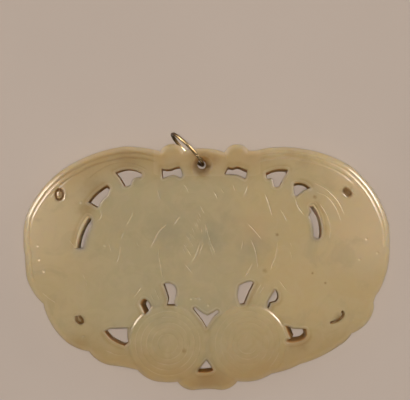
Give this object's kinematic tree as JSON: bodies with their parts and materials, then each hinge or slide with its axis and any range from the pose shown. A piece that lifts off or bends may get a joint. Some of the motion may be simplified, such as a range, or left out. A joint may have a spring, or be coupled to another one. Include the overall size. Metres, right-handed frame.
{
  "type": "openwork jade pendant plaque",
  "caption": "Flat openwork jade plaque with a winged, lobed outline, pierced slots, ring-carved roundels and a wire ring in its hanging hole, lying on its back.",
  "frame": {"origin": "on the surface that the plaque lies on, under the middle of the whole pendant's box", "axes": "+Z out of the carved face, +Y towards the crown with the hanging hole, +X to the right wing as seen from the front"},
  "size_m": [0.0624, 0.044, 0.0079],
  "materials": {
    "jade": "polished, translucent pale celadon",
    "wire": "dull drawn wire"
  },
  "bodies": {
    "root": {"jade_plaque": "jade", "wire_ring": "wire"}
  },
  "joints": []
}
